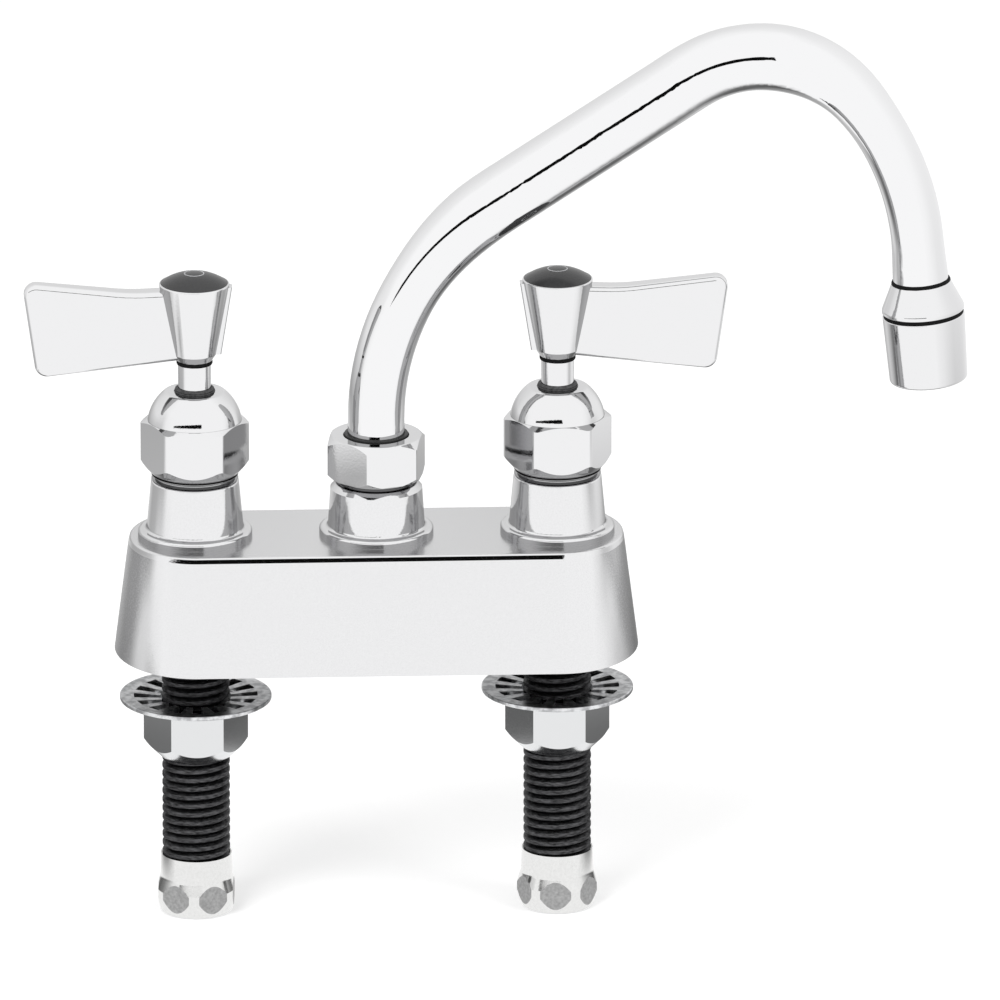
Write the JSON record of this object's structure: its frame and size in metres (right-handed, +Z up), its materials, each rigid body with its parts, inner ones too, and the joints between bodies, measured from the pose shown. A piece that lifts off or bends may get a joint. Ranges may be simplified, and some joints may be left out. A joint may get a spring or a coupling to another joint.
{
  "type": "deck-mount centreset faucet",
  "caption": "Chrome centreset faucet with lever handles, a high swing spout with an aerator, and threaded shanks with washers and locknuts.",
  "frame": {"origin": "centre of the base's foot, on the plane where it seats on the deck, on the spout's swivel axis and midway between the two valve axes", "axes": "+Z up along the spout's swivel axis; +X from the hot valve to the cold valve, the user's right; -Y towards the user"},
  "size_m": [0.2641, 0.058, 0.2577],
  "materials": {
    "chrome_plate": "polished chrome plate over cast or turned brass",
    "nickel_plate": "dull bright-nickel plate over brass",
    "zinc_plated_steel": "zinc-plated spring steel, stamped",
    "zinc_plated_brass": "zinc-plated brass, machined hexagon bar",
    "raw_brass": "turned brass, unplated",
    "stainless_steel": "stainless screw",
    "stainless_mesh": "perforated stainless sheet",
    "valve_ceramic": "lapped alumina",
    "black_rubber": "moulded nitrile",
    "nylon": "dark acetal bearing ring",
    "white_acetal": "moulded acetal",
    "dark_index_plastic": "moulded dark grey cap"
  },
  "bodies": {
    "base": {"body_casting": "chrome_plate", "spout_nut": "chrome_plate", "hot_shank": "nickel_plate", "hot_coupling": "nickel_plate", "hot_seat_seal": "black_rubber", "hot_fixed_disc": "valve_ceramic", "hot_cartridge_sleeve": "raw_brass", "hot_cartridge_o_ring": "black_rubber", "hot_bonnet_nut": "chrome_plate", "hot_stem_wiper": "black_rubber", "cold_shank": "nickel_plate", "cold_coupling": "nickel_plate", "cold_seat_seal": "black_rubber", "cold_fixed_disc": "valve_ceramic", "cold_cartridge_sleeve": "raw_brass", "cold_cartridge_o_ring": "black_rubber", "cold_bonnet_nut": "chrome_plate", "cold_stem_wiper": "black_rubber"},
    "hot_valve": {"hot_handle": "chrome_plate", "hot_index_button": "dark_index_plastic", "hot_handle_screw": "stainless_steel", "hot_stem": "chrome_plate", "hot_moving_disc": "valve_ceramic", "hot_stem_o_ring": "black_rubber"},
    "cold_valve": {"cold_handle": "chrome_plate", "cold_index_button": "dark_index_plastic", "cold_handle_screw": "stainless_steel", "cold_stem": "chrome_plate", "cold_moving_disc": "valve_ceramic", "cold_stem_o_ring": "black_rubber"},
    "spout": {"spout_tube": "chrome_plate", "spout_collar": "nylon", "spout_o_rings": "black_rubber", "aerator_adapter": "chrome_plate", "aerator_housing": "chrome_plate", "aerator_seal_ring": "black_rubber", "aerator_washer": "black_rubber", "aerator_insert": "white_acetal", "aerator_screen": "stainless_mesh"},
    "hot_clamp": {"hot_lock_washer": "zinc_plated_steel"},
    "cold_clamp": {"cold_lock_washer": "zinc_plated_steel"},
    "hot_nut": {"hot_locknut": "zinc_plated_brass"},
    "cold_nut": {"cold_locknut": "zinc_plated_brass"}
  },
  "joints": [
    {"name": "hot_handle_turn", "type": "hinge", "parent": "base", "child": "hot_valve", "pos_m": [-0.0508, 0, 0.1], "axis": [0, 0, 1], "range_deg": [0, 90]},
    {"name": "cold_handle_turn", "type": "hinge", "parent": "base", "child": "cold_valve", "pos_m": [0.0508, 0, 0.1], "axis": [0, 0, 1], "range_deg": [-90, 0]},
    {"name": "spout_swivel", "type": "hinge", "parent": "base", "child": "spout", "pos_m": [0, 0, 0.1], "axis": [0, 0, 1], "continuous": true},
    {"name": "hot_washer_slide", "type": "slide", "parent": "base", "child": "hot_clamp", "axis": [0, 0, 1], "range_m": [-0.0285, 0.0135]},
    {"name": "hot_locknut_turn", "type": "hinge", "parent": "hot_clamp", "child": "hot_nut", "pos_m": [-0.0508, 0, -0.02], "axis": [0, 0, 1], "range_deg": [-4038, 1912]},
    {"name": "cold_washer_slide", "type": "slide", "parent": "base", "child": "cold_clamp", "axis": [0, 0, 1], "range_m": [-0.0296, 0.0124]},
    {"name": "cold_locknut_turn", "type": "hinge", "parent": "cold_clamp", "child": "cold_nut", "pos_m": [0.0508, 0, -0.02], "axis": [0, 0, 1], "range_deg": [-4194, 1756]}
  ],
  "couplings": [
    {"joint": "hot_washer_slide", "follows": "hot_locknut_turn", "m_per_rad": 0.00040425},
    {"joint": "cold_washer_slide", "follows": "cold_locknut_turn", "m_per_rad": 0.00040425}
  ]
}
